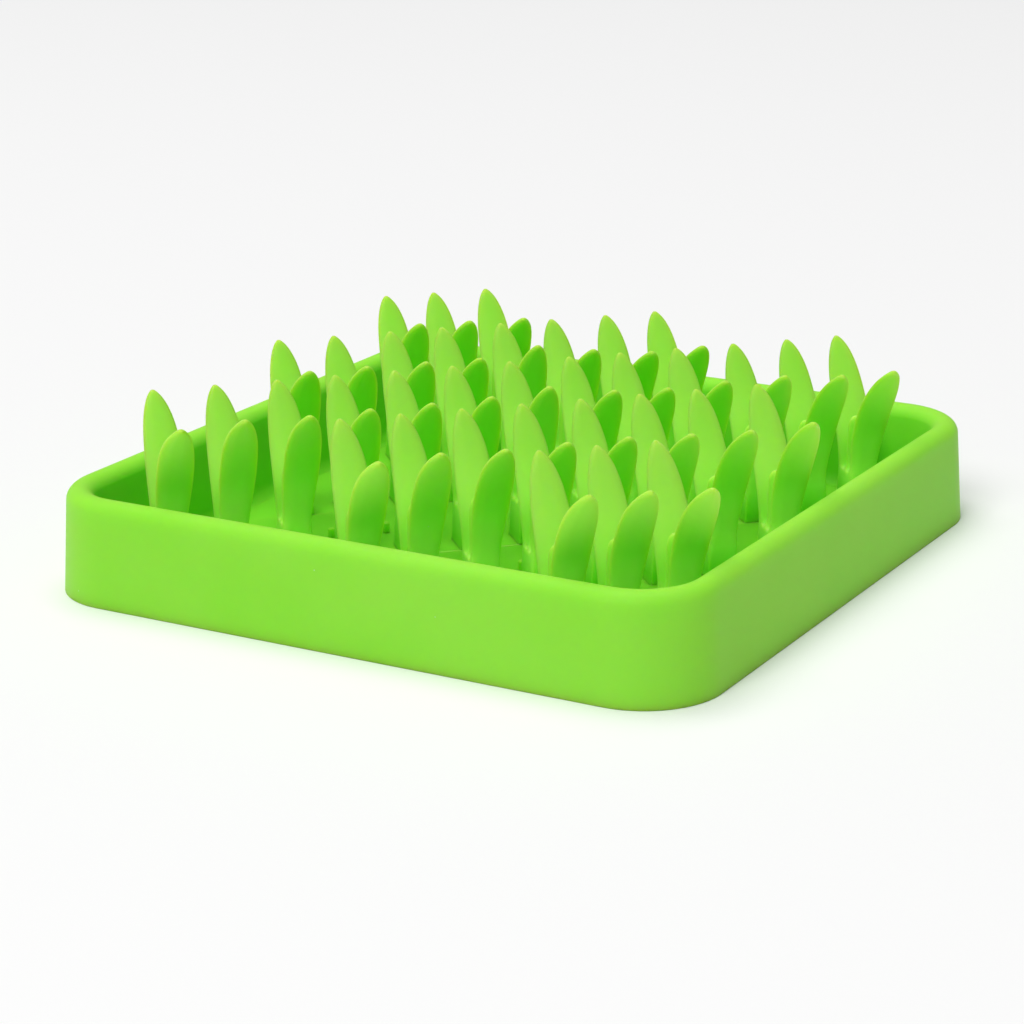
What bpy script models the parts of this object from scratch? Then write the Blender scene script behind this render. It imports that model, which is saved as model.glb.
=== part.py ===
"""Grass feeding mat: a shallow square tray with five rows of three-bladed tufts.

The rows run along the tray's diagonal.  Every tuft stands on the tray floor on a
solid foot, which carries a tall front blade, a tall back blade and a short
upright blade between them.  Units are metres, +Z is up, and the origin is the
middle of the underside.
"""

import math

import bmesh
import bpy
from mathutils import Matrix, Vector

MM = 0.001

# Tray, seen from above as a square with round corners.
BASE_HALF = 100.0 * MM        # middle to outer side at the underside
BASE_CORNER = 22.0 * MM       # corner radius at the underside
RIM_TOP = 29.8 * MM           # height of the wall
RIM_RADIUS = 3.6 * MM         # the rim is a half round
RIM_HALF = 94.9 * MM          # middle to the rim's centre line
FLOOR_TOP = 3.4 * MM          # floor thickness
FLOOR_HALF = 86.4 * MM        # middle to the edge of the flat floor
FLOOR_FILLET = 3.8 * MM       # hollow round between floor and wall
CORNER_STEPS = 6              # straight pieces in each corner of a loop
RIM_STEPS = 6                 # straight pieces over the rim
FILLET_STEPS = 3              # straight pieces in the hollow round

# Rows of tufts, from the far corner to the near one.  A row runs along the
# diagonal, and the rows lie side by side towards the near corner.
ROW_SPACING = 45.0 * MM
ROW_TURN = math.radians(45.0)
ROW_COLUMNS = ("name", "place", "tufts", "pitch")
ROWS = (
    ("a", -2, 3, 15.9 * MM),
    ("b", -1, 8, 16.9 * MM),
    ("c", 0, 13, 16.9 * MM),
    ("d", 1, 8, 16.9 * MM),
    ("e", 2, 3, 15.9 * MM),
)

# Foot of a tuft: a block with rounded upright corners.
FOOT_GAP = 0.3 * MM           # a foot starts this far above the floor
FOOT_HALF_WIDTH = 4.2 * MM    # along the row
FOOT_HALF_DEPTH = 5.7 * MM    # across the row
FOOT_CORNER = 1.6 * MM
FOOT_CORNER_STEPS = 2
FOOT_TOP = 15.2 * MM

# Sections of the three blades, from the root inside the foot up to the tip.
# Reach is how far the middle of the blade stands in front of the tuft's middle,
# or behind it where it is negative, and side is how far it stands along the row.
BLADE_COLUMNS = ("height", "reach", "side", "half_width", "half_thickness")
FRONT_BLADE = (
    (12.0 * MM, 4.1 * MM, 0.0 * MM, 3.90 * MM, 1.30 * MM),
    (17.5 * MM, 4.1 * MM, 0.2 * MM, 3.95 * MM, 1.30 * MM),
    (23.5 * MM, 4.5 * MM, 0.9 * MM, 4.35 * MM, 1.20 * MM),
    (29.8 * MM, 6.1 * MM, 1.4 * MM, 4.85 * MM, 1.10 * MM),
    (36.0 * MM, 9.7 * MM, 1.3 * MM, 4.95 * MM, 1.05 * MM),
    (42.0 * MM, 14.5 * MM, 1.0 * MM, 4.60 * MM, 0.95 * MM),
    (47.0 * MM, 18.8 * MM, 1.0 * MM, 3.50 * MM, 0.90 * MM),
    (49.8 * MM, 21.3 * MM, 1.2 * MM, 2.00 * MM, 0.75 * MM),
    (50.8 * MM, 22.2 * MM, 1.3 * MM, 0.80 * MM, 0.50 * MM),
)
BACK_BLADE = (
    (12.0 * MM, -3.9 * MM, 0.0 * MM, 3.90 * MM, 1.30 * MM),
    (17.5 * MM, -4.1 * MM, 0.4 * MM, 4.40 * MM, 1.30 * MM),
    (23.5 * MM, -5.2 * MM, 1.0 * MM, 4.95 * MM, 1.20 * MM),
    (29.8 * MM, -8.2 * MM, 1.3 * MM, 5.25 * MM, 1.10 * MM),
    (36.0 * MM, -12.2 * MM, 1.3 * MM, 4.95 * MM, 1.05 * MM),
    (42.0 * MM, -15.4 * MM, 1.1 * MM, 4.20 * MM, 0.95 * MM),
    (47.0 * MM, -17.8 * MM, 0.7 * MM, 2.90 * MM, 0.90 * MM),
    (49.8 * MM, -19.0 * MM, 0.3 * MM, 1.60 * MM, 0.75 * MM),
    (50.8 * MM, -19.5 * MM, 0.1 * MM, 0.70 * MM, 0.50 * MM),
)
SHORT_BLADE = (
    (12.0 * MM, 0.0, 0.0, 3.20 * MM, 1.25 * MM),
    (24.0 * MM, 0.0, 0.0, 3.00 * MM, 1.15 * MM),
    (29.2 * MM, 0.0, 0.0, 2.50 * MM, 1.00 * MM),
    (31.2 * MM, 0.0, 0.0, 1.30 * MM, 0.65 * MM),
)
BLADES = (("front_blade", FRONT_BLADE), ("back_blade", BACK_BLADE),
          ("short_blade", SHORT_BLADE))
BLADE_CHAMFER = 0.6           # share of the half thickness that each edge loses

# Finish: one soft moulded rubber, apple green.
MAT_COLOR = (0.27, 0.62, 0.06, 1.0)
MAT_ROUGHNESS = 0.45


def clear_scene():
    """Take away whatever the scene holds."""
    for item in list(bpy.data.objects):
        bpy.data.objects.remove(item, do_unlink=True)


def green_rubber(name):
    """The mat's one finish, as a material for a piece."""
    material = bpy.data.materials.new(name)
    material.use_nodes = True
    shader = material.node_tree.nodes["Principled BSDF"]
    shader.inputs["Base Color"].default_value = MAT_COLOR
    shader.inputs["Roughness"].default_value = MAT_ROUGHNESS
    shader.inputs["Metallic"].default_value = 0.0
    return material


def add_object(name, mesh):
    """Put a mesh into the scene as a named object."""
    item = bpy.data.objects.new(name, mesh)
    bpy.context.scene.collection.objects.link(item)
    return item


def smooth(mesh, degrees):
    """Shade round surfaces smooth and keep the edges sharper than an angle."""
    mesh.shade_smooth()
    mesh.set_sharp_from_angle(angle=math.radians(degrees))


def rounded_loop(bm, half_x, half_y, corner, height, steps):
    """A level loop of vertices: a rectangle with round corners."""
    loop = []
    corners = ((1, -1, -90.0), (1, 1, 0.0), (-1, 1, 90.0), (-1, -1, 180.0))
    for side_x, side_y, start in corners:
        for step in range(steps + 1):
            angle = math.radians(start + 90.0 * step / steps)
            x = side_x * (half_x - corner) + corner * math.cos(angle)
            y = side_y * (half_y - corner) + corner * math.sin(angle)
            loop.append(bm.verts.new((x, y, height)))
    return loop


def close_mesh(bm, name, loops):
    """Join the loops in turn with quads, cap both ends and make a mesh of them."""
    count = len(loops[0])
    for lower, upper in zip(loops, loops[1:]):
        for index in range(count):
            after = (index + 1) % count
            bm.faces.new((lower[index], lower[after], upper[after], upper[index]))
    bm.faces.new(tuple(reversed(loops[0])))
    bm.faces.new(tuple(loops[-1]))
    bmesh.ops.recalc_face_normals(bm, faces=bm.faces)
    mesh = bpy.data.meshes.new(name)
    bm.to_mesh(mesh)
    bm.free()
    return mesh


def tray_sections():
    """Half size and height of each loop, from the underside over the rim to the floor."""
    sections = [(BASE_HALF, 0.0)]
    rim_centre = RIM_TOP - RIM_RADIUS
    for step in range(RIM_STEPS + 1):
        angle = math.pi * step / RIM_STEPS
        half = RIM_HALF + RIM_RADIUS * math.cos(angle)
        sections.append((half, rim_centre + RIM_RADIUS * math.sin(angle)))
    for step in range(FILLET_STEPS + 1):
        angle = math.radians(90.0) * step / FILLET_STEPS
        half = FLOOR_HALF + FLOOR_FILLET * math.cos(angle)
        sections.append((half, FLOOR_TOP + FLOOR_FILLET * (1.0 - math.sin(angle))))
    return sections


def make_tray():
    """The tray as one solid: underside, wall, round rim, hollow round and floor."""
    bm = bmesh.new()
    loops = []
    for half, height in tray_sections():
        corner = BASE_CORNER - (BASE_HALF - half)
        loops.append(rounded_loop(bm, half, half, corner, height, CORNER_STEPS))
    mesh = close_mesh(bm, "tray", loops)
    smooth(mesh, 40.0)
    mesh.materials.append(green_rubber("tray_green"))
    add_object("tray", mesh)


def blade_loop(bm, centre, along, half_width, half_thickness):
    """One section of a blade, square to its run: a flat bar with cut edges."""
    across = Vector((1.0, 0.0, 0.0))
    outward = across.cross(along).normalized()
    cut = BLADE_CHAMFER * half_thickness
    flat = half_width - cut
    edge = half_thickness - cut
    outline = ((flat, half_thickness), (-flat, half_thickness),
               (-half_width, edge), (-half_width, -edge),
               (-flat, -half_thickness), (flat, -half_thickness),
               (half_width, -edge), (half_width, edge))
    return [bm.verts.new(centre + across * x + outward * y) for x, y in outline]


def make_blade(name, sections):
    """A blade through its sections, from the root to the tip.  The front is -Y."""
    centres = [Vector((side, -reach, height)) for height, reach, side, _, _ in sections]
    bm = bmesh.new()
    loops = []
    for index, section in enumerate(sections):
        before = centres[max(index - 1, 0)]
        after = centres[min(index + 1, len(centres) - 1)]
        along = (after - before).normalized()
        half_width, half_thickness = section[3:]
        loops.append(blade_loop(bm, centres[index], along, half_width, half_thickness))
    return add_object(name, close_mesh(bm, name, loops))


def make_foot():
    """The block that the three blades grow from."""
    bm = bmesh.new()
    loops = [rounded_loop(bm, FOOT_HALF_WIDTH, FOOT_HALF_DEPTH, FOOT_CORNER, height,
                          FOOT_CORNER_STEPS)
             for height in (FLOOR_TOP + FOOT_GAP, FOOT_TOP)]
    return add_object("foot", close_mesh(bm, "foot", loops))


def tuft_mesh():
    """The foot and its three blades, joined into one solid."""
    foot = make_foot()
    helpers = [foot]
    for name, sections in BLADES:
        blade = make_blade(name, sections)
        helpers.append(blade)
        join = foot.modifiers.new(name, "BOOLEAN")
        join.operation = "UNION"
        join.solver = "EXACT"
        join.object = blade
    bpy.context.view_layer.update()
    graph = bpy.context.evaluated_depsgraph_get()
    mesh = bpy.data.meshes.new_from_object(foot.evaluated_get(graph))
    for helper in helpers:
        bpy.data.objects.remove(helper, do_unlink=True)
    mesh.name = "tuft"
    smooth(mesh, 35.0)
    mesh.materials.append(green_rubber("tuft_green"))
    return mesh


def place_tufts():
    """Stand a tuft at each place of each row, all of one mesh."""
    mesh = tuft_mesh()
    turn = Matrix.Rotation(ROW_TURN, 4, "Z")
    for name, place, tufts, pitch in ROWS:
        for number in range(tufts):
            along = (number - (tufts - 1) / 2.0) * pitch
            spot = Vector((along, -place * ROW_SPACING, 0.0))
            tuft = add_object(f"tuft_{name}{number + 1:02d}", mesh)
            tuft.matrix_world = turn @ Matrix.Translation(spot)


def main():
    """Build the mat."""
    clear_scene()
    make_tray()
    place_tufts()


if __name__ == "__main__":
    main()
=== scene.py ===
"""Grass feeding mat: the finished look of a moulded rubber tray with 35 grass tufts.

Laid out as an add-on and run as a script.  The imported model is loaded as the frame,
and each of its solids gets a finely modelled piece in its place.  Units are metres.
"""

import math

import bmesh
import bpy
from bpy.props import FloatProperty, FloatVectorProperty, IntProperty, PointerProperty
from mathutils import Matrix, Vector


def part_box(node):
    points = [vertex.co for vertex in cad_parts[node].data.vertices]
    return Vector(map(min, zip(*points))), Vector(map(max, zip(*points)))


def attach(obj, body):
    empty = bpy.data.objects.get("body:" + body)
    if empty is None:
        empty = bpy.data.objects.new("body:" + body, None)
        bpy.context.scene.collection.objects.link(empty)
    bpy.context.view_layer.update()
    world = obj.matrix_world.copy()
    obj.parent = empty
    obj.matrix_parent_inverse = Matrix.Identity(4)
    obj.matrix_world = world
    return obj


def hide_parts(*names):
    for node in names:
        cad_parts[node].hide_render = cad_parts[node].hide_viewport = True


bl_info = {
    "name": "Grass Feeding Mat",
    "version": (1, 0, 0),
    "blender": (4, 5, 0),
    "location": "View3D > Sidebar > Feeding Mat",
    "description": "Models a moulded feeding mat with grass tufts, and its studio",
    "category": "Add Mesh",
}

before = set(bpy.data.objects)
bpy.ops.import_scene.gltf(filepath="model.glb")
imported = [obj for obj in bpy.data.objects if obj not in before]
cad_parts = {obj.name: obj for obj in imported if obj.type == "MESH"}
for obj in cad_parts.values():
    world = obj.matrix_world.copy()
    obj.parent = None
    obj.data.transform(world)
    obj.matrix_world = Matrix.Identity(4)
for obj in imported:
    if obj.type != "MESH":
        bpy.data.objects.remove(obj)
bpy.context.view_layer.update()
TRAY_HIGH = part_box("tray")[1]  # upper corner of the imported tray's box

MM = 0.001
BODY = "root"
EDGE_LIGHT = "thin_edge"       # vertex value: 1 along the thin edges of a blade, which get painted light
PAINTED_SHADE = "deep"                 # vertex value: up to 1 where painted shade darkens the tray's inside and the feet's bottoms

# Rows of tufts along the tray's diagonal, from the far corner to the near one: name,
# place from the middle row, number of tufts and the distance between them.
ROWS = (
    ("a", -2, 3, 15.9 * MM),
    ("b", -1, 8, 16.9 * MM),
    ("c", 0, 13, 16.9 * MM),
    ("d", 1, 8, 16.9 * MM),
    ("e", 2, 3, 15.9 * MM),
)

# Sections of the blades, from just over the foot up to the tip: height, reach, side,
# half width and half thickness.  Reach is how far the middle of the blade stands in
# front of the tuft's middle, and side is how far it stands along the row.
FRONT_BLADE = (
    (17.5 * MM, 4.1 * MM, 0.2 * MM, 4.15 * MM, 1.35 * MM),
    (23.5 * MM, 4.5 * MM, 0.7 * MM, 4.80 * MM, 1.25 * MM),
    (29.8 * MM, 6.1 * MM, 1.2 * MM, 5.25 * MM, 1.15 * MM),
    (36.0 * MM, 9.7 * MM, 1.2 * MM, 5.35 * MM, 1.10 * MM),
    (42.0 * MM, 14.5 * MM, 1.0 * MM, 5.05 * MM, 1.05 * MM),
    (46.4 * MM, 18.2 * MM, 1.0 * MM, 4.00 * MM, 1.00 * MM),
    (49.0 * MM, 20.7 * MM, 1.2 * MM, 2.55 * MM, 0.90 * MM),
    (50.2 * MM, 21.9 * MM, 1.3 * MM, 1.25 * MM, 0.75 * MM),
    (50.6 * MM, 22.3 * MM, 1.3 * MM, 0.50 * MM, 0.40 * MM),
)
BACK_BLADE = (
    (17.5 * MM, -4.1 * MM, 0.3 * MM, 4.60 * MM, 1.35 * MM),
    (23.5 * MM, -5.2 * MM, 0.8 * MM, 5.35 * MM, 1.25 * MM),
    (29.8 * MM, -8.2 * MM, 1.1 * MM, 5.70 * MM, 1.15 * MM),
    (36.0 * MM, -12.2 * MM, 1.1 * MM, 5.40 * MM, 1.10 * MM),
    (42.0 * MM, -15.4 * MM, 0.9 * MM, 4.75 * MM, 1.05 * MM),
    (46.4 * MM, -17.5 * MM, 0.6 * MM, 3.50 * MM, 1.00 * MM),
    (49.0 * MM, -18.7 * MM, 0.3 * MM, 2.15 * MM, 0.90 * MM),
    (50.2 * MM, -19.3 * MM, 0.1 * MM, 1.05 * MM, 0.75 * MM),
    (50.7 * MM, -19.6 * MM, 0.0 * MM, 0.35 * MM, 0.40 * MM),
)
SHORT_BLADE = (
    (16.4 * MM, 0.0, 0.0, 3.25 * MM, 1.20 * MM),
    (24.0 * MM, 0.0, 0.0, 3.35 * MM, 1.20 * MM),
    (28.4 * MM, 0.0, 0.0, 3.25 * MM, 1.10 * MM),
    (30.5 * MM, 0.0, 0.0, 2.70 * MM, 1.00 * MM),
    (31.4 * MM, 0.0, 0.0, 1.40 * MM, 0.70 * MM),
)
# Strips of the foot's top that the blades grow from: middle and half depth.
FRONT_ROOT = (-4.25 * MM, 1.45 * MM)
SHORT_ROOT = (0.0, 1.25 * MM)
BACK_ROOT = (4.15 * MM, 1.55 * MM)
BLADES = ((FRONT_ROOT, FRONT_BLADE), (SHORT_ROOT, SHORT_BLADE), (BACK_ROOT, BACK_BLADE))
# Cuts across the foot's top, along those strips.
STRIP_CUTS = (-2.8 * MM, -1.25 * MM, 1.25 * MM, 2.6 * MM)
FOOT_SHOULDER = 1.0 * MM      # a cut around the foot, this far below its top

# How many degrees further out each front blade leans than the model blade.
FRONT_LEANS = {
    "a": (-1.9, -1.2, -0.2),
    "b": (-1.9, -2.2, -2.0, -1.7, -8.0, -1.5, 3.3, 2.2),
    "c": (1.0, -2.0, -1.2, -2.4, -2.9, -4.0, -8.0, -1.4, 0.0, -1.5, -1.7, 1.2, 1.3),
    "d": (0.9, -1.1, 0.1, -0.9, -1.0, 0.6, 1.5, -0.1),
    "e": (-0.1, 0.7, 2.4),
}
# Levels at which a leaning blade is turned a little further.
LEAN_LEVELS = (18.0 * MM, 26.0 * MM, 33.0 * MM)
LEAN_PIVOT = -4.5 * MM        # the blade turns about a line here, in front of the middle
FRONT_PART = -2.0 * MM        # what stands in front of this line is the front blade

# How far each tuft stands along its row from its even place, in mm.
TUFT_SHIFTS = {
    "a": (0.5, 0.0, 1.0),
    "b": (0.7, 0.5, 0.9, 0.0, 1.4, 0.5, 0.8, -0.3),
    "c": (-1.5, -0.8, 0.0, -0.1, 0.3, 0.4, 0.5, 1.5, 0.0, 0.3, 1.0, 0.8, -0.5),
    "d": (0.1, 0.0, 0.2, 0.2, 0.1, 0.3, -0.2, 0.7),
    "e": (0.0, -0.3, -0.1),
}

# Pegs that the picture shows: row and number of a tuft, the peg's distance along the
# row from that tuft, and its distance behind it.
PEGS = (
    ("c", 4, -3.2 * MM, 15.8 * MM),
    ("c", 5, -3.8 * MM, 16.6 * MM),
    ("d", 4, -0.9 * MM, 16.7 * MM),
)
PEG_ROOT = 1.0 * MM           # how far a peg reaches down into the floor
PEG_SIDES = 16
PEG_ROUND = 0.6               # round on a peg's top, as a share of its radius

# Number of steps in each round.
CORNER_STEPS = 18
FILLET_STEPS = 6
RIM_STEPS = 8
BASE_STEPS = 3
PEG_STEPS = 3
ROUND = 0.5                   # bevel profile of a true round
RIM_SHARE = 0.985             # each of the rim's two rounds stops just short of the other
STEP_RAMP = 0.2 * MM          # width of the slope between two levels of the floor

# Angle in degrees below which the edge between two faces is shaded smooth.
TRAY_SMOOTH = 35.0
GRASS_SMOOTH = 60.0
PEG_SMOOTH = 50.0

# How parts of a mesh are told apart by their place.
NEAR = 0.05 * MM              # what is this near to a height lies at it
SAME_LEVEL = 0.4 * MM         # the same for a level that is not quite flat
MARGIN = 0.1 * MM             # extra reach of a test
CUT_SNAP = 0.001 * MM         # a cut runs through verts that are this near to it
LEVEL = 0.99                  # height of a level face's normal, at least
NEARLY_LEVEL = 0.9            # the same for a blade's strip, which may tilt a little
STEEP = 0.5                   # height of a wall face's normal, at most
EDGE_FROM = 0.9               # a blade's edge begins at this share of its half width
EDGE_DEPTH = 1.2              # and lies within this share of its half thickness
WALL_FROM = 0.9               # the inner wall begins this share of a rim radius down
WALL_SHADE = 0.5               # share of painted shade on the top of the inner wall


# ---------------------------------------------------------------- settings

class MatTraySettings(bpy.types.PropertyGroup):
    """Sizes of the tray."""
    corner: FloatProperty(
        name="Corner", description="Corner radius at the underside",
        default=22.0 * MM, unit="LENGTH")
    draft: FloatProperty(
        name="Draft", description="How far the wall leans in up to the rim",
        default=1.5 * MM, unit="LENGTH")
    rim_radius: FloatProperty(
        name="Rim radius", description="Radius of the full round on the rim",
        default=3.6 * MM, unit="LENGTH")
    floor_top: FloatProperty(
        name="Floor", description="Thickness of the floor",
        default=3.4 * MM, unit="LENGTH")
    floor_half: FloatProperty(
        name="Floor half", description="Middle of the tray to the foot of the inner wall",
        default=89.9 * MM, unit="LENGTH")
    floor_fillet: FloatProperty(
        name="Floor fillet", description="Hollow round between floor and wall",
        default=3.8 * MM, unit="LENGTH")
    base_edge: FloatProperty(
        name="Base edge", description="Round on the edge that meets the surface",
        default=0.3 * MM, unit="LENGTH")
    floor_step: FloatProperty(
        name="Floor step", description="Height of the step in the floor along each row",
        default=0.5 * MM, unit="LENGTH")


class MatTuftSettings(bpy.types.PropertyGroup):
    """Sizes of the grass tufts."""
    row_spacing: FloatProperty(
        name="Row spacing", description="Distance between two rows",
        default=45.0 * MM, unit="LENGTH")
    row_turn: FloatProperty(
        name="Row turn", description="Angle of the rows to the tray's side",
        default=math.radians(45.0), subtype="ANGLE")
    foot_half_width: FloatProperty(
        name="Foot half width", description="Half of the foot's size along the row",
        default=4.2 * MM, unit="LENGTH")
    foot_half_depth: FloatProperty(
        name="Foot half depth", description="Half of the foot's size across the row",
        default=5.7 * MM, unit="LENGTH")
    foot_top: FloatProperty(
        name="Foot top", description="Height at which the blades part",
        default=15.2 * MM, unit="LENGTH")
    foot_flare: FloatProperty(
        name="Foot flare", description="Small round where the foot grows from the floor",
        default=0.5 * MM, unit="LENGTH")
    foot_depth: FloatProperty(
        name="Foot depth", description="How far the foot reaches down into the floor",
        default=2.4 * MM, unit="LENGTH")
    foot_crease: FloatProperty(
        name="Foot crease", description="Sharpness of the foot's upright corners",
        default=0.45, min=0.0, max=1.0, subtype="FACTOR")
    edge_band: FloatProperty(
        name="Edge band", description="Width of a blade's round edge",
        default=2.4 * MM, unit="LENGTH")
    edge_support: FloatProperty(
        name="Edge support", description="Extra strip that keeps a blade's middle flat",
        default=0.8 * MM, unit="LENGTH")
    edge_share: FloatProperty(
        name="Edge share", description="Thickness at a blade's edge, as a share of its middle's",
        default=0.45, min=0.1, max=1.0, subtype="FACTOR")
    smoothing: IntProperty(
        name="Smoothing", description="Levels of subdivision", default=2, min=0, max=3)


class MatPegSettings(bpy.types.PropertyGroup):
    """Sizes of the small pegs on the floor."""
    radius: FloatProperty(
        name="Radius", description="Radius of a peg", default=1.0 * MM, unit="LENGTH")
    height: FloatProperty(
        name="Height", description="Height of a peg over the floor",
        default=3.2 * MM, unit="LENGTH")


class MatFinishSettings(bpy.types.PropertyGroup):
    """Colours and surface of the moulded rubber."""
    rubber: FloatVectorProperty(
        name="Rubber", description="Colour of the tray's rubber",
        default=(0.303, 0.793, 0.054), size=3, min=0.0, max=1.0, subtype="COLOR")
    rubber_pale: FloatVectorProperty(
        name="Pale rubber", description="Colour where the rubber is a little chalky",
        default=(0.333, 0.803, 0.068), size=3, min=0.0, max=1.0, subtype="COLOR")
    # Painted light: grass and pale grass are brighter copies of the tray's rubber colours,
    # standing in for more light on the blades.
    grass: FloatVectorProperty(
        name="Grass", description="Colour of the thin grass, which light passes through",
        default=(0.405, 0.93, 0.088), size=3, min=0.0, max=1.0, subtype="COLOR")
    grass_pale: FloatVectorProperty(
        name="Pale grass", description="Colour where the grass is a little chalky",
        default=(0.435, 0.94, 0.103), size=3, min=0.0, max=1.0, subtype="COLOR")
    # Painted light: the blades' thin edges get this colour in place of the light that shines
    # through them.
    grass_edge: FloatVectorProperty(
        name="Grass edge", description="Colour where light shines through a thin edge",
        default=(0.38, 0.93, 0.088), size=3, min=0.0, max=1.0, subtype="COLOR")
    # Painted shade: this darker green is laid on the floor, the top of the inner wall and the
    # feet's bottoms, where shade falls.
    deep: FloatVectorProperty(
        name="Deep", description="Colour low down inside the tray",
        default=(0.21, 0.73, 0.027), size=3, min=0.0, max=1.0, subtype="COLOR")
    dust: FloatVectorProperty(
        name="Dust", description="Colour of the specks of dust",
        default=(0.60, 0.86, 0.45), size=3, min=0.0, max=1.0, subtype="COLOR")
    roughness: FloatProperty(
        name="Roughness", description="Roughness of the satin skin",
        default=0.42, min=0.0, max=1.0, subtype="FACTOR")
    glow: FloatProperty(
        name="Glow", description="Share of the light that travels inside the rubber",
        default=1.0, min=0.0, max=1.0, subtype="FACTOR")


class MatStageSettings(bpy.types.PropertyGroup):
    """Camera, light and floor."""
    camera_place: FloatVectorProperty(
        name="Camera", description="Place of the camera",
        default=(0.4007, -0.7016, 0.2673), size=3, subtype="TRANSLATION")
    camera_azimuth: FloatProperty(
        name="Azimuth", description="Turn of the camera around the mat",
        default=math.radians(30.03), subtype="ANGLE")
    camera_elevation: FloatProperty(
        name="Elevation", description="Angle at which the camera looks down",
        default=math.radians(17.59), subtype="ANGLE")
    camera_roll: FloatProperty(
        name="Roll", description="Small tilt of the picture",
        default=math.radians(-0.65), subtype="ANGLE")
    camera_lens: FloatProperty(
        name="Lens", description="Focal length in mm on a 36 mm sensor", default=104.1)
    floor_colour: FloatVectorProperty(
        name="Floor colour", description="Colour of the floor",
        default=(0.98, 0.98, 0.98), size=3, min=0.0, max=1.0, subtype="COLOR")
    floor_half: FloatProperty(
        name="Floor half", description="Half of the floor's side",
        default=12.0, unit="LENGTH")
    sky_strength: FloatProperty(
        name="Room light", description="Strength of the even white light", default=0.14)
    key_power: FloatProperty(
        name="Key light", description="Power of the large light overhead, in watts",
        default=309.0)
    fill_power: FloatProperty(
        name="Fill light", description="Power of the light over the front, in watts",
        default=182.0)


# ---------------------------------------------------------------- modelling helpers

def deselect_all():
    """Leave object mode with nothing selected."""
    if bpy.context.object and bpy.context.object.mode != "OBJECT":
        bpy.ops.object.mode_set(mode="OBJECT")
    bpy.ops.object.select_all(action="DESELECT")


def start_piece(name):
    """Name the primitive that was just added and go into edit mode with faces."""
    piece = bpy.context.object
    piece.name = name
    piece.data.name = name
    bpy.ops.object.transform_apply(location=True, rotation=True, scale=True)
    bpy.ops.object.mode_set(mode="EDIT")
    bpy.ops.mesh.select_mode(type="FACE")
    bpy.ops.mesh.select_all(action="DESELECT")
    return piece


def edit_mesh():
    """The mesh that is being edited, for choosing its parts by place."""
    return bmesh.from_edit_mesh(bpy.context.edit_object.data)


def choose(kind, test):
    """Select only the verts, edges or faces that pass a test."""
    modes = {"verts": "VERT", "edges": "EDGE", "faces": "FACE"}
    bpy.ops.mesh.select_mode(type=modes[kind])
    bpy.ops.mesh.select_all(action="DESELECT")
    bm = edit_mesh()
    count = 0
    for item in getattr(bm, kind):
        if test(item):
            item.select_set(True)
            count += 1
    if not count:
        raise RuntimeError("no part of the mesh lies where it was looked for")
    bm.select_flush_mode()
    bmesh.update_edit_mesh(bpy.context.edit_object.data)


def face_at(height, up):
    """A test for level faces at a height that look up (1) or down (-1)."""
    def test(face):
        level = face.normal.z * up > LEVEL
        return level and abs(face.calc_center_median().z - height) < NEAR
    return test


def edge_at(height):
    """A test for level edges at a height."""
    def test(edge):
        return all(abs(vert.co.z - height) < NEAR for vert in edge.verts)
    return test


def set_value(name, value, test):
    """Give a named value to the edited mesh's verts that pass a test."""
    bm = edit_mesh()
    layers = bm.verts.layers.float
    layer = layers.get(name) or layers.new(name)
    for vert in bm.verts:
        if test(vert):
            vert[layer] = value
    bmesh.update_edit_mesh(bpy.context.edit_object.data)


def mark_painted_shade(low, high, reach, share):
    """Set the share of painted shade on the verts that are between two heights and in reach."""
    set_value(PAINTED_SHADE, share, lambda vert: low < vert.co.z < high
              and max(abs(vert.co.x), abs(vert.co.y)) < reach)


def finish_piece(piece, angle, material):
    """Turn the faces out, leave edit mode, shade the piece and give it its finish."""
    bpy.ops.mesh.select_all(action="SELECT")
    bpy.ops.mesh.normals_make_consistent(inside=False)
    bpy.ops.object.mode_set(mode="OBJECT")
    bpy.ops.object.shade_smooth_by_angle(angle=math.radians(angle))
    piece.data.materials.clear()
    piece.data.materials.append(material)


def hold(piece, *nodes):
    """The piece rides on the mat and stands for its nodes."""
    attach(piece, BODY)
    if nodes:
        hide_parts(*nodes)


# ---------------------------------------------------------------- finish

# Inputs of the skin's node group.
SKIN_INPUTS = (("Grain Scale", 4500.0), ("Tone Scale", 26.0), ("Speck Scale", 140.0),
               ("Speck Share", 0.25))
GRAIN_DETAIL = 3.0
GRAIN_ROUGHNESS = 0.6
TONE_DETAIL = 2.0
TONE_RANGE = (0.35, 0.65)     # values of the noise that become tones 0 and 1
SPECK_RANGE = (0.030, 0.015)  # distances from a cell's middle that become 0 and 1
# Share of the cells that hold a speck of dust, and height of the grain.
TRAY_SKIN = (0.22, 0.03 * MM)
GRASS_SKIN = (0.06, 0.02 * MM)
GRAIN_STRENGTH = 0.35
ROUGHNESS_SPREAD = 0.06       # how much rougher the chalky parts are
RUBBER_IOR = 1.45
RUBBER_SHINE = 0.10
# How far red, green and blue travel inside the rubber, as shares of one length.
GLOW_REACH = (0.8, 1.0, 0.2)
GLOW_LENGTH = 5.2 * MM


def add_node(tree, kind, place, **values):
    """Add a node at a place in the tree and set its properties."""
    node = tree.nodes.new(kind)
    node.location = place
    for key, value in values.items():
        setattr(node, key, value)
    return node


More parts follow.
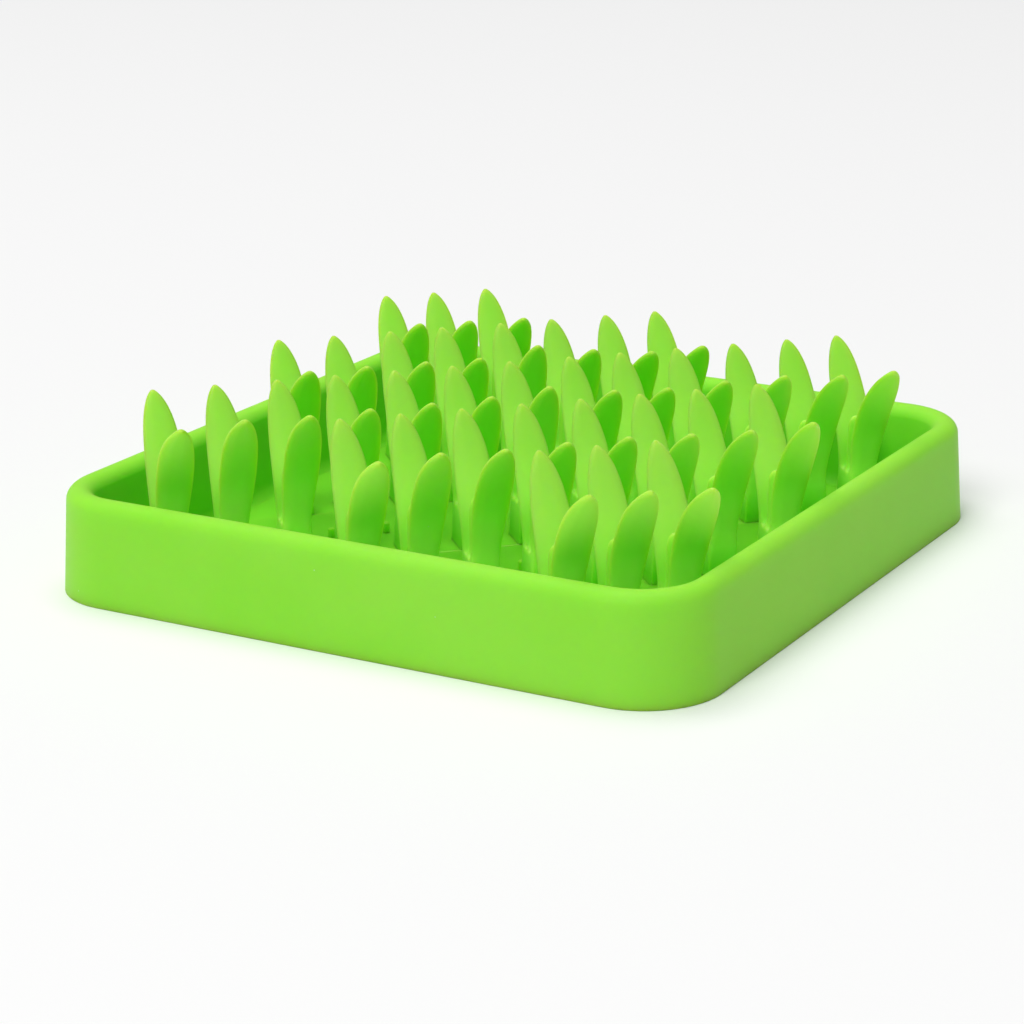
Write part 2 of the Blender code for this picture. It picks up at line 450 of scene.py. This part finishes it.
def rubber_skin_group():
    """Node group: the fine grain, slow tone and dust specks of moulded rubber."""
    name = "Moulded Rubber Skin"
    if name in bpy.data.node_groups:
        return bpy.data.node_groups[name]
    group = bpy.data.node_groups.new(name, "ShaderNodeTree")
    sockets = group.interface
    sockets.new_socket("Vector", in_out="INPUT", socket_type="NodeSocketVector")
    for label, value in SKIN_INPUTS:
        socket = sockets.new_socket(label, in_out="INPUT", socket_type="NodeSocketFloat")
        socket.default_value = value
    for label in ("Grain", "Tone", "Specks"):
        sockets.new_socket(label, in_out="OUTPUT", socket_type="NodeSocketFloat")
    start = add_node(group, "NodeGroupInput", (-900, 0))
    end = add_node(group, "NodeGroupOutput", (700, 0))
    link = group.links.new

    grain = add_node(group, "ShaderNodeTexNoise", (-500, 300))
    grain.inputs["Detail"].default_value = GRAIN_DETAIL
    grain.inputs["Roughness"].default_value = GRAIN_ROUGHNESS
    link(start.outputs["Vector"], grain.inputs["Vector"])
    link(start.outputs["Grain Scale"], grain.inputs["Scale"])
    link(grain.outputs["Fac"], end.inputs["Grain"])

    tone = add_node(group, "ShaderNodeTexNoise", (-500, 0))
    tone.inputs["Detail"].default_value = TONE_DETAIL
    link(start.outputs["Vector"], tone.inputs["Vector"])
    link(start.outputs["Tone Scale"], tone.inputs["Scale"])
    spread = add_node(group, "ShaderNodeMapRange", (-200, 0))
    spread.inputs["From Min"].default_value = TONE_RANGE[0]
    spread.inputs["From Max"].default_value = TONE_RANGE[1]
    link(tone.outputs["Fac"], spread.inputs["Value"])
    link(spread.outputs["Result"], end.inputs["Tone"])

    cells = add_node(group, "ShaderNodeTexVoronoi", (-500, -350), feature="F1")
    link(start.outputs["Vector"], cells.inputs["Vector"])
    link(start.outputs["Speck Scale"], cells.inputs["Scale"])
    near = add_node(group, "ShaderNodeMapRange", (-200, -300))
    near.inputs["From Min"].default_value = SPECK_RANGE[0]
    near.inputs["From Max"].default_value = SPECK_RANGE[1]
    link(cells.outputs["Distance"], near.inputs["Value"])
    split = add_node(group, "ShaderNodeSeparateColor", (-200, -550))
    link(cells.outputs["Color"], split.inputs["Color"])
    some = add_node(group, "ShaderNodeMath", (50, -500), operation="LESS_THAN")
    link(split.outputs["Red"], some.inputs[0])
    link(start.outputs["Speck Share"], some.inputs[1])
    both = add_node(group, "ShaderNodeMath", (300, -350), operation="MULTIPLY")
    link(near.outputs["Result"], both.inputs[0])
    link(some.outputs["Value"], both.inputs[1])
    link(both.outputs["Value"], end.inputs["Specks"])
    return group


def vertex_value(tree, place, name):
    """The output that gives a value which the verts were marked with."""
    return add_node(tree, "ShaderNodeAttribute", place, attribute_name=name).outputs["Fac"]


def mix_over(tree, place, below, colour, factor):
    """Mix a colour over what one output gives, as far as another output says."""
    mix = add_node(tree, "ShaderNodeMix", place, data_type="RGBA")
    mix.inputs["B"].default_value = (*colour, 1.0)
    tree.links.new(below, mix.inputs["A"])
    tree.links.new(factor, mix.inputs["Factor"])
    return mix.outputs["Result"]


def rubber_colour(tree, settings, colours, skin):
    """The rubber's slow tone, with painted light on its thin edges, painted shade low inside the
    tray and at the feet, and the dust on it.
    """
    body = add_node(tree, "ShaderNodeMix", (-1050, 700), data_type="RGBA")
    body.inputs["A"].default_value = (*colours[0], 1.0)
    body.inputs["B"].default_value = (*colours[1], 1.0)
    tree.links.new(skin.outputs["Tone"], body.inputs["Factor"])
    # Painted light on the blades' thin edges.
    thin = vertex_value(tree, (-1050, 450), EDGE_LIGHT)
    # Painted shade low inside the tray and at the feet.
    deep = vertex_value(tree, (-1050, 250), PAINTED_SHADE)
    edged = mix_over(tree, (-800, 600), body.outputs["Result"], settings.grass_edge, thin)
    shade_painted = mix_over(tree, (-600, 600), edged, settings.deep, deep)
    return mix_over(tree, (-400, 600), shade_painted, settings.dust, skin.outputs["Specks"])


def rubber_material(name, settings, colours, speck_share, grain_height):
    """Soft apple green rubber with a satin skin."""
    material = bpy.data.materials.new(name)
    material.use_nodes = True
    tree = material.node_tree
    link = tree.links.new
    shader = tree.nodes["Principled BSDF"]
    place = add_node(tree, "ShaderNodeTexCoord", (-1300, 0))
    skin = add_node(tree, "ShaderNodeGroup", (-1050, 0), node_tree=rubber_skin_group())
    skin.inputs["Speck Share"].default_value = speck_share
    link(place.outputs["Object"], skin.inputs["Vector"])
    link(rubber_colour(tree, settings, colours, skin), shader.inputs["Base Color"])

    rough = add_node(tree, "ShaderNodeMapRange", (-500, -50))
    rough.inputs["To Min"].default_value = settings.roughness
    rough.inputs["To Max"].default_value = settings.roughness + ROUGHNESS_SPREAD
    link(skin.outputs["Tone"], rough.inputs["Value"])
    link(rough.outputs["Result"], shader.inputs["Roughness"])

    bump = add_node(tree, "ShaderNodeBump", (-300, -300))
    bump.inputs["Strength"].default_value = GRAIN_STRENGTH
    bump.inputs["Distance"].default_value = grain_height
    link(skin.outputs["Grain"], bump.inputs["Height"])
    link(bump.outputs["Normal"], shader.inputs["Normal"])

    shader.inputs["Metallic"].default_value = 0.0
    shader.inputs["IOR"].default_value = RUBBER_IOR
    shader.inputs["Specular IOR Level"].default_value = RUBBER_SHINE
    shader.inputs["Subsurface Weight"].default_value = settings.glow
    shader.inputs["Subsurface Radius"].default_value = GLOW_REACH
    shader.inputs["Subsurface Scale"].default_value = GLOW_LENGTH


class FEEDMAT_OT_finish(bpy.types.Operator):
    """Make the rubber of the tray, the grass and the pegs."""
    bl_idname = "feedmat.finish"
    bl_label = "Rubber"

    def execute(self, context):
        settings = context.scene.feedmat_finish
        rubber_material("tray_rubber", settings, (settings.rubber, settings.rubber_pale),
                        *TRAY_SKIN)
        # The grass gets the brighter copy of the rubber colours, which is painted light.
        rubber_material("grass_rubber", settings, (settings.grass, settings.grass_pale),
                        *GRASS_SKIN)
        return {"FINISHED"}


# ---------------------------------------------------------------- tray

def shape_wall(tray, half, rim_top):
    """Round the upright corners, lean the wall in and hollow the tray out."""
    choose("edges", lambda edge: abs(edge.verts[0].co.z - edge.verts[1].co.z) > rim_top / 2.0)
    bpy.ops.mesh.bevel(offset=tray.corner, offset_type="OFFSET", segments=CORNER_STEPS,
                       profile=ROUND)
    rim_outer = half - tray.draft
    choose("faces", face_at(rim_top, 1))
    bpy.ops.transform.resize(value=(rim_outer / half, rim_outer / half, 1.0),
                             center_override=(0.0, 0.0, rim_top))
    bpy.ops.mesh.inset(thickness=2.0 * tray.rim_radius, use_even_offset=True)
    rim_inner = rim_outer - 2.0 * tray.rim_radius
    depth = rim_top - tray.floor_top
    bpy.ops.mesh.extrude_region_move(TRANSFORM_OT_translate={"value": (0.0, 0.0, -depth)})
    shrink = tray.floor_half / rim_inner
    bpy.ops.transform.resize(value=(shrink, shrink, 1.0),
                             center_override=(0.0, 0.0, tray.floor_top))


def round_edges(tray, rim_top):
    """Round the floor's edge, the rim and the edge of the underside."""
    choose("edges", edge_at(tray.floor_top))
    bpy.ops.mesh.bevel(offset=tray.floor_fillet, segments=FILLET_STEPS, profile=ROUND)
    choose("edges", lambda edge: all(vert.co.z > rim_top - NEAR for vert in edge.verts)
           and len(edge.link_faces) == 2
           and any(abs(face.normal.z) < STEEP for face in edge.link_faces))
    bpy.ops.mesh.bevel(offset=RIM_SHARE * tray.rim_radius, segments=RIM_STEPS, profile=ROUND)
    choose("edges", edge_at(0.0))
    bpy.ops.mesh.bevel(offset=tray.base_edge, segments=BASE_STEPS, profile=ROUND)


def step_floor(tray, tufts):
    """Cut a small step into the floor along the front of every row."""
    turn = Matrix.Rotation(tufts.row_turn, 3, "Z")
    front = turn @ Vector((0.0, -1.0, 0.0))
    lines = []
    for _, place, _, _ in ROWS:
        reach = place * tufts.row_spacing + tufts.foot_half_depth
        lines.append(reach)
        for cut in (reach, reach + STEP_RAMP):
            choose("faces", face_at(tray.floor_top, 1))
            bpy.ops.mesh.bisect(plane_co=front * cut, plane_no=front, threshold=CUT_SNAP)
    for reach in lines:
        for cut, lift in ((reach, -0.5), (reach + STEP_RAMP, 0.5)):
            choose("verts", lambda vert: abs(vert.co.z - tray.floor_top) < SAME_LEVEL
                   and abs(vert.co.dot(front) - cut) < STEP_RAMP / 4.0)
            bpy.ops.transform.translate(value=(0.0, 0.0, lift * tray.floor_step))


def paint_inner_shade(tray, half, rim_top):
    """Paint full shade on the tray's floor, and half as much on the top of the inner wall."""
    rim_inner = half - tray.draft - 2.0 * tray.rim_radius
    mark_painted_shade(rim_top / 2.0, rim_top - WALL_FROM * tray.rim_radius, rim_inner + MARGIN,
              WALL_SHADE)
    mark_painted_shade(tray.base_edge + MARGIN, tray.floor_top + tray.floor_fillet + MARGIN,
              rim_inner, 1.0)


class FEEDMAT_OT_tray(bpy.types.Operator):
    """Model the tray with its round rim, hollow corners and stepped floor."""
    bl_idname = "feedmat.tray"
    bl_label = "Tray"

    def execute(self, context):
        tray = context.scene.feedmat_tray
        tufts = context.scene.feedmat_tufts
        half = TRAY_HIGH.x
        rim_top = TRAY_HIGH.z
        deselect_all()
        bpy.ops.mesh.primitive_cube_add(size=1.0, location=(0.0, 0.0, rim_top / 2.0),
                                        scale=(2.0 * half, 2.0 * half, rim_top))
        piece = start_piece("tray_body")
        shape_wall(tray, half, rim_top)
        round_edges(tray, rim_top)
        step_floor(tray, tufts)
        paint_inner_shade(tray, half, rim_top)
        finish_piece(piece, TRAY_SMOOTH, bpy.data.materials["tray_rubber"])
        hold(piece, "tray")
        return {"FINISHED"}


# ---------------------------------------------------------------- tufts

def choose_strip(centre, half_depth):
    """Select the level faces of one blade's strip around a centre."""
    def test(face):
        offset = face.calc_center_median() - centre
        return (face.normal.z > NEARLY_LEVEL and abs(offset.z) < SAME_LEVEL
                and abs(offset.y) < half_depth)
    choose("faces", test)


def thin_edges(centre, half_width, half_thickness, share):
    """Bring both edges of a blade nearer to its middle plane and mark them for painted light."""
    def test(vert):
        offset = vert.co - centre
        return (abs(offset.x) > EDGE_FROM * half_width and abs(offset.z) < SAME_LEVEL
                and abs(offset.y) < EDGE_DEPTH * half_thickness)
    choose("verts", test)
    bpy.ops.transform.resize(value=(1.0, share, 1.0), center_override=centre)
    set_value(EDGE_LIGHT, 1.0, lambda vert: vert.select)


def grow_blade(root, tufts, sections):
    """Extrude a strip of the foot's top through the sections of a blade."""
    middle, half_depth = root
    centres = [Vector((0.0, middle, tufts.foot_top))]
    for height, reach, side, _, _ in sections:
        centres.append(Vector((side, -reach, height)))
    choose_strip(centres[0], half_depth)
    width, thickness, lean = tufts.foot_half_width, half_depth, 0.0
    for index, section in enumerate(sections):
        centre = centres[index + 1]
        before = centres[index]
        after = centres[min(index + 2, len(centres) - 1)]
        run = after - before
        next_lean = math.atan2(-run.y, run.z)
        half_width, half_thickness = section[3:]
        bpy.ops.mesh.extrude_region_move(TRANSFORM_OT_translate={"value": centre - before})
        bpy.ops.transform.rotate(value=-(next_lean - lean), orient_axis="X",
                                 center_override=centre)
        across = half_thickness / thickness
        bpy.ops.transform.resize(value=(half_width / width, across, across),
                                 center_override=centre)
        width, thickness, lean = half_width, half_thickness, next_lean
        if index == 0:
            thin_edges(centre, half_width, half_thickness, tufts.edge_share)
            choose_strip(centre, half_thickness)


def block_out_foot(tufts, low, high):
    """Add the foot as a block and cut its top into strips for the blades."""
    deselect_all()
    bpy.ops.mesh.primitive_cube_add(
        size=1.0, location=(0.0, 0.0, (low + high) / 2.0),
        scale=(2.0 * tufts.foot_half_width, 2.0 * tufts.foot_half_depth, high - low))
    piece = start_piece("tuft_model")
    outer = tufts.foot_half_width - tufts.edge_band
    inner = outer - tufts.edge_support
    cuts = [((0.0, edge, 0.0), (0.0, 1.0, 0.0)) for edge in STRIP_CUTS]
    cuts += [((side, 0.0, 0.0), (1.0, 0.0, 0.0)) for side in (-outer, -inner, inner, outer)]
    cuts.append(((0.0, 0.0, high - FOOT_SHOULDER), (0.0, 0.0, 1.0)))
    for place, normal in cuts:
        bpy.ops.mesh.select_all(action="SELECT")
        bpy.ops.mesh.bisect(plane_co=place, plane_no=normal)
    return piece


def root_foot(tufts, low, floor_top):
    """Widen the foot a little where it meets the floor and draw it down into it."""
    choose("faces", face_at(low, -1))
    bpy.ops.mesh.extrude_region_move(
        TRANSFORM_OT_translate={"value": (0.0, 0.0, -tufts.foot_flare)})
    flare = ((tufts.foot_half_width + tufts.foot_flare) / tufts.foot_half_width,
             (tufts.foot_half_depth + tufts.foot_flare) / tufts.foot_half_depth, 1.0)
    bpy.ops.transform.resize(value=flare, center_override=(0.0, 0.0, floor_top))
    bpy.ops.mesh.extrude_region_move(
        TRANSFORM_OT_translate={"value": (0.0, 0.0, -tufts.foot_depth)})


def upright_corner(tufts, below):
    """A test for the upright edges at the corners of the foot, below a height."""
    def test(edge):
        ends = [vert.co for vert in edge.verts]
        upright = abs(ends[0].z - ends[1].z) > MARGIN
        return upright and all(abs(co.x) > tufts.foot_half_width - MARGIN
                               and abs(co.y) > tufts.foot_half_depth - MARGIN
                               and co.z < below for co in ends)
    return test


def model_tuft(tufts, floor_top):
    """Model one tuft at the origin: the foot as a block, the blades drawn out of it."""
    low = floor_top + tufts.foot_flare
    high = tufts.foot_top
    piece = block_out_foot(tufts, low, high)
    root_foot(tufts, low, floor_top)
    choose("edges", upright_corner(tufts, high - FOOT_SHOULDER / 2.0))
    bpy.ops.transform.edge_crease(value=tufts.foot_crease)
    # Painted shade on the bottom of the foot, where it meets the floor.
    mark_painted_shade(0.0, low + MARGIN, tufts.foot_half_depth + 2.0 * tufts.foot_flare, 1.0)
    for root, sections in BLADES:
        grow_blade(root, tufts, sections)
    bpy.ops.object.mode_set(mode="OBJECT")
    return piece


def lean_front_blade(extra):
    """Bend the front blade of the tuft in edit mode outwards by an angle."""
    angle = extra / len(LEAN_LEVELS)
    for level in LEAN_LEVELS:
        choose("verts", lambda vert: vert.co.z > level and vert.co.y < FRONT_PART)
        bpy.ops.transform.rotate(value=-angle, orient_axis="X",
                                 center_override=(0.0, LEAN_PIVOT, level))


def place_tuft(model, name, spot, tufts, extra):
    """Copy the model tuft to its place, lean its front blade and smooth it."""
    deselect_all()
    model.select_set(True)
    bpy.context.view_layer.objects.active = model
    bpy.ops.object.duplicate(linked=False)
    piece = bpy.context.object
    piece.name = name
    piece.data.name = name
    bpy.ops.object.mode_set(mode="EDIT")
    if extra:
        lean_front_blade(extra)
    bpy.ops.object.mode_set(mode="OBJECT")
    piece.matrix_world = Matrix.Rotation(tufts.row_turn, 4, "Z") @ Matrix.Translation(spot)
    bpy.ops.object.transform_apply(location=True, rotation=True, scale=True)
    smooth = piece.modifiers.new("Smooth", "SUBSURF")
    smooth.levels = tufts.smoothing
    smooth.render_levels = tufts.smoothing
    bpy.ops.object.modifier_apply(modifier=smooth.name)
    bpy.ops.object.mode_set(mode="EDIT")
    finish_piece(piece, GRASS_SMOOTH, bpy.data.materials["grass_rubber"])
    return piece


class FEEDMAT_OT_tufts(bpy.types.Operator):
    """Model one tuft of grass and stand its copies in rows."""
    bl_idname = "feedmat.tufts"
    bl_label = "Tufts"

    def execute(self, context):
        tufts = context.scene.feedmat_tufts
        model = model_tuft(tufts, context.scene.feedmat_tray.floor_top)
        for row, place, count, pitch in ROWS:
            for number in range(count):
                along = (number - (count - 1) / 2.0) * pitch
                along += TUFT_SHIFTS[row][number] * MM
                spot = Vector((along, -place * tufts.row_spacing, 0.0))
                extra = math.radians(FRONT_LEANS[row][number])
                label = f"{row}{number + 1:02d}"
                piece = place_tuft(model, f"grass_{label}", spot, tufts, extra)
                hold(piece, f"tuft_{label}")
        bpy.data.objects.remove(model, do_unlink=True)
        return {"FINISHED"}


# ---------------------------------------------------------------- pegs

def model_peg(pegs, name, spot, floor_top):
    """One small peg with a round top, standing in the floor."""
    depth = pegs.height + PEG_ROOT
    middle = floor_top + pegs.height - depth / 2.0
    deselect_all()
    bpy.ops.mesh.primitive_cylinder_add(vertices=PEG_SIDES, radius=pegs.radius, depth=depth,
                                        location=(spot.x, spot.y, middle))
    piece = start_piece(name)
    choose("faces", face_at(floor_top + pegs.height, 1))
    bpy.ops.mesh.bevel(offset=PEG_ROUND * pegs.radius, segments=PEG_STEPS, profile=ROUND)
    finish_piece(piece, PEG_SMOOTH, bpy.data.materials["tray_rubber"])
    return piece


class FEEDMAT_OT_pegs(bpy.types.Operator):
    """Stand the small pegs on the floor between the rows."""
    bl_idname = "feedmat.pegs"
    bl_label = "Pegs"

    def execute(self, context):
        tufts = context.scene.feedmat_tufts
        pegs = context.scene.feedmat_pegs
        floor_top = context.scene.feedmat_tray.floor_top
        turn = Matrix.Rotation(tufts.row_turn, 4, "Z")
        rows = {name: (place, count, pitch) for name, place, count, pitch in ROWS}
        for row, number, aside, behind in PEGS:
            place, count, pitch = rows[row]
            along = (number - (count + 1) / 2.0) * pitch + aside
            across = -place * tufts.row_spacing + behind
            spot = turn @ Vector((along, across, 0.0))
            hold(model_peg(pegs, f"peg_{row}{number:02d}", spot, floor_top))
        return {"FINISHED"}


# ---------------------------------------------------------------- stage

LIGHT_TARGET = (0.0, 0.0, 0.02)
KEY_PLACE = (-1.1, 0.45, 6.75)
KEY_SIZE = 5.4
FILL_PLACE = (0.15, -4.5, 4.5)
FILL_SIZE = 3.0
SENSOR_WIDTH = 36.0           # in mm
NEAREST_SEEN = 0.01
FURTHEST_SEEN = 30.0
FLOOR_ROUGHNESS = 0.9
FLOOR_SHINE = 0.1
WHITE = (1.0, 1.0, 1.0, 1.0)


def add_area_light(name, place, size, power):
    """A square soft box that looks at the mat."""
    data = bpy.data.lights.new(name, "AREA")
    data.shape = "SQUARE"
    data.size = size
    data.energy = power
    light = bpy.data.objects.new(name, data)
    bpy.context.scene.collection.objects.link(light)
    light.location = place
    gaze = Vector(LIGHT_TARGET) - Vector(place)
    light.rotation_euler = gaze.to_track_quat("-Z", "Y").to_euler()


def add_camera(stage):
    """The camera at the picture's viewing angle."""
    data = bpy.data.cameras.new("camera")
    data.lens = stage.camera_lens
    data.sensor_width = SENSOR_WIDTH
    data.clip_start = NEAREST_SEEN
    data.clip_end = FURTHEST_SEEN
    camera = bpy.data.objects.new("camera", data)
    bpy.context.scene.collection.objects.link(camera)
    quarter = math.radians(90.0)
    camera.matrix_world = (
        Matrix.Translation(stage.camera_place)
        @ Matrix.Rotation(stage.camera_azimuth, 4, "Z")
        @ Matrix.Rotation(quarter - stage.camera_elevation, 4, "X")
        @ Matrix.Rotation(stage.camera_roll, 4, "Z"))
    bpy.context.scene.camera = camera


def add_floor(stage):
    """The plain pale floor."""
    deselect_all()
    bpy.ops.mesh.primitive_plane_add(size=2.0 * stage.floor_half, location=(0.0, 0.0, 0.0))
    floor = bpy.context.object
    floor.name = "studio_floor"
    material = bpy.data.materials.new("studio_floor")
    material.use_nodes = True
    shader = material.node_tree.nodes["Principled BSDF"]
    shader.inputs["Base Color"].default_value = (*stage.floor_colour, 1.0)
    shader.inputs["Roughness"].default_value = FLOOR_ROUGHNESS
    shader.inputs["Specular IOR Level"].default_value = FLOOR_SHINE
    floor.data.materials.append(material)


def light_room(stage):
    """Even white light from all sides."""
    world = bpy.data.worlds.new("studio")
    world.use_nodes = True
    background = world.node_tree.nodes["Background"]
    background.inputs["Color"].default_value = WHITE
    background.inputs["Strength"].default_value = stage.sky_strength
    bpy.context.scene.world = world
    bpy.context.scene.view_settings.view_transform = "Standard"


class FEEDMAT_OT_stage(bpy.types.Operator):
    """Set up the floor, the soft light and the camera."""
    bl_idname = "feedmat.stage"
    bl_label = "Stage"

    def execute(self, context):
        stage = context.scene.feedmat_stage
        add_floor(stage)
        light_room(stage)
        add_area_light("key_light", KEY_PLACE, KEY_SIZE, stage.key_power)
        add_area_light("fill_light", FILL_PLACE, FILL_SIZE, stage.fill_power)
        add_camera(stage)
        return {"FINISHED"}


# ---------------------------------------------------------------- panel and running

class VIEW3D_PT_feedmat(bpy.types.Panel):
    """Buttons and settings for the pieces of the feeding mat."""
    bl_label = "Feeding Mat"
    bl_idname = "VIEW3D_PT_feedmat"
    bl_space_type = "VIEW_3D"
    bl_region_type = "UI"
    bl_category = "Feeding Mat"

    def draw(self, context):
        layout = self.layout
        for operator in OPERATORS:
            layout.operator(operator.bl_idname)
        for name, group in SETTINGS:
            settings = getattr(context.scene, name)
            column = layout.column(align=True)
            for key in group.__annotations__:
                column.prop(settings, key)


SETTINGS = (
    ("feedmat_tray", MatTraySettings),
    ("feedmat_tufts", MatTuftSettings),
    ("feedmat_pegs", MatPegSettings),
    ("feedmat_finish", MatFinishSettings),
    ("feedmat_stage", MatStageSettings),
)
OPERATORS = (FEEDMAT_OT_finish, FEEDMAT_OT_tray, FEEDMAT_OT_tufts, FEEDMAT_OT_pegs,
             FEEDMAT_OT_stage)


def register():
    """Register the settings, the operators and the panel."""
    for name, group in SETTINGS:
        bpy.utils.register_class(group)
        setattr(bpy.types.Scene, name, PointerProperty(type=group))
    for operator in OPERATORS:
        bpy.utils.register_class(operator)
    bpy.utils.register_class(VIEW3D_PT_feedmat)


def unregister():
    """Take everything out again, in reverse."""
    bpy.utils.unregister_class(VIEW3D_PT_feedmat)
    for operator in reversed(OPERATORS):
        bpy.utils.unregister_class(operator)
    for name, group in reversed(SETTINGS):
        delattr(bpy.types.Scene, name)
        bpy.utils.unregister_class(group)


def main():
    """Build the whole scene."""
    register()
    bpy.ops.feedmat.finish()
    bpy.ops.feedmat.tray()
    bpy.ops.feedmat.tufts()
    bpy.ops.feedmat.pegs()
    bpy.ops.feedmat.stage()


if __name__ == "__main__":
    main()
